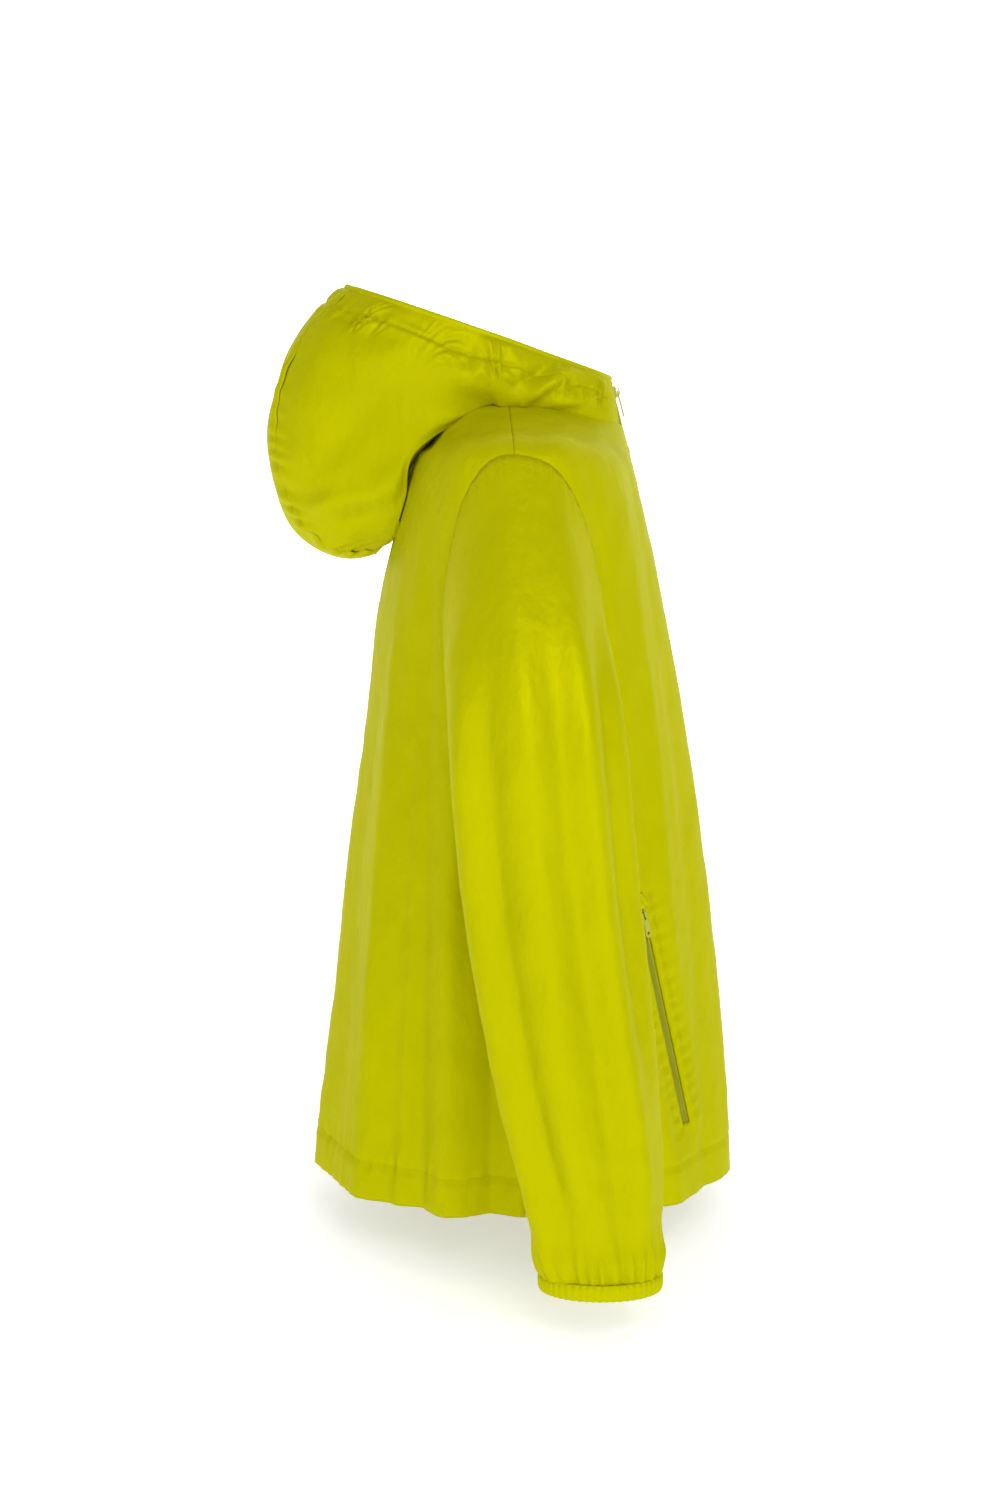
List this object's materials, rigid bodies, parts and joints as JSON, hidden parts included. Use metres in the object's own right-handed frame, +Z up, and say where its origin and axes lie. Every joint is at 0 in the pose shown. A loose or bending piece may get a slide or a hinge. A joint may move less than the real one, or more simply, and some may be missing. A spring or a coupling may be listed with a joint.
{
  "type": "hooded shell jacket",
  "caption": "Lightweight hooded zip-front shell jacket, worn shape, hood folded down behind the neck, zipped hand pockets and elastic cuffs.",
  "frame": {"origin": "middle of the hanger loop inside the back of the neck", "axes": "+Z up, the front of the jacket faces -Y, the wearer's right sleeve is on -X"},
  "size_m": [0.738, 0.3998, 0.7619],
  "materials": {
    "shell_fabric": "thin plain-weave nylon with a soft satin sheen",
    "binding_fabric": "narrow folded binding of the shell cloth",
    "zip_tape": "woven polyester tape, dyed to match",
    "zip_teeth": "moulded polyester coil, dyed to match",
    "painted_metal": "die-cast metal, painted to match the cloth, soft gloss",
    "elastic": "knitted elastic",
    "pocket_fabric": "shell cloth, inside face"
  },
  "bodies": {
    "shell": {"back_panel": "shell_fabric", "hem_facing_back": "shell_fabric", "front_panel_right": "shell_fabric", "front_panel_left": "shell_fabric", "hem_facing_right": "shell_fabric", "hem_facing_left": "shell_fabric", "collar_right": "shell_fabric", "collar_left": "shell_fabric", "pocket_zip_garage_right": "shell_fabric", "pocket_zip_garage_left": "shell_fabric", "neck_tape": "binding_fabric", "hanger_loop": "binding_fabric", "zip_tape_right": "zip_tape", "zip_tape_left": "zip_tape", "pocket_zip_front_half_right": "zip_tape", "pocket_zip_front_half_left": "zip_tape", "pocket_zip_back_half_right": "zip_tape", "pocket_zip_back_half_left": "zip_tape", "zip_teeth_right": "zip_teeth", "zip_teeth_left": "zip_teeth", "zip_insertion_pin": "painted_metal", "zip_retainer_box": "painted_metal", "zip_top_stop_right": "painted_metal", "zip_top_stop_left": "painted_metal", "hem_elastic": "elastic", "pocket_bag_right": "pocket_fabric", "pocket_bag_left": "pocket_fabric"},
    "hood": {"hood_side_right": "shell_fabric", "hood_side_left": "shell_fabric", "hood_centre_panel": "shell_fabric", "hood_binding": "binding_fabric", "hood_elastic": "elastic"},
    "zip_slider": {"zip_slider": "painted_metal"},
    "zip_puller": {"zip_puller": "painted_metal"},
    "sleeve_right": {"sleeve_right": "shell_fabric", "cuff_binding_right": "binding_fabric", "cuff_elastic_right": "elastic"},
    "pocket_slider_right": {"pocket_slider_right": "painted_metal"},
    "pocket_puller_right": {"pocket_puller_right": "painted_metal"},
    "sleeve_left": {"sleeve_left": "shell_fabric", "cuff_binding_left": "binding_fabric", "cuff_elastic_left": "elastic"},
    "pocket_slider_left": {"pocket_slider_left": "painted_metal"},
    "pocket_puller_left": {"pocket_puller_left": "painted_metal"}
  },
  "joints": [
    {"name": "hood_fold", "type": "hinge", "parent": "shell", "child": "hood", "pos_m": [0, -0.043, 0], "axis": [1, 0, 0], "range_deg": [0, 95]},
    {"name": "zip_slider_run", "type": "hinge", "parent": "shell", "child": "zip_slider", "pos_m": [0, 3.17069, -0.85515], "axis": [1, 0, 0], "range_deg": [0, 10.9]},
    {"name": "zip_puller_swing", "type": "hinge", "parent": "zip_slider", "child": "zip_puller", "pos_m": [0, -0.13607, 0.0097], "axis": [-1, 0, 0], "range_deg": [0, 150]},
    {"name": "sleeve_right_lift", "type": "hinge", "parent": "shell", "child": "sleeve_right", "pos_m": [-0.228, -0.047, -0.039], "axis": [0, 1, 0], "range_deg": [0, 60]},
    {"name": "pocket_slider_right_run", "type": "slide", "parent": "shell", "child": "pocket_slider_right", "axis": [0.1685, -0.2139, -0.9622], "range_m": [0, 0.168]},
    {"name": "pocket_puller_right_swing", "type": "hinge", "parent": "pocket_slider_right", "child": "pocket_puller_right", "pos_m": [-0.17803, -0.15182, -0.40728], "axis": [-0.6965, 0.6649, -0.2698], "range_deg": [0, 150]},
    {"name": "sleeve_left_lift", "type": "hinge", "parent": "shell", "child": "sleeve_left", "pos_m": [0.228, -0.047, -0.039], "axis": [0, -1, 0], "range_deg": [0, 60]},
    {"name": "pocket_slider_left_run", "type": "slide", "parent": "shell", "child": "pocket_slider_left", "axis": [-0.1685, -0.2139, -0.9622], "range_m": [0, 0.168]},
    {"name": "pocket_puller_left_swing", "type": "hinge", "parent": "pocket_slider_left", "child": "pocket_puller_left", "pos_m": [0.17803, -0.15182, -0.40728], "axis": [-0.6965, -0.6649, 0.2698], "range_deg": [0, 150]}
  ]
}
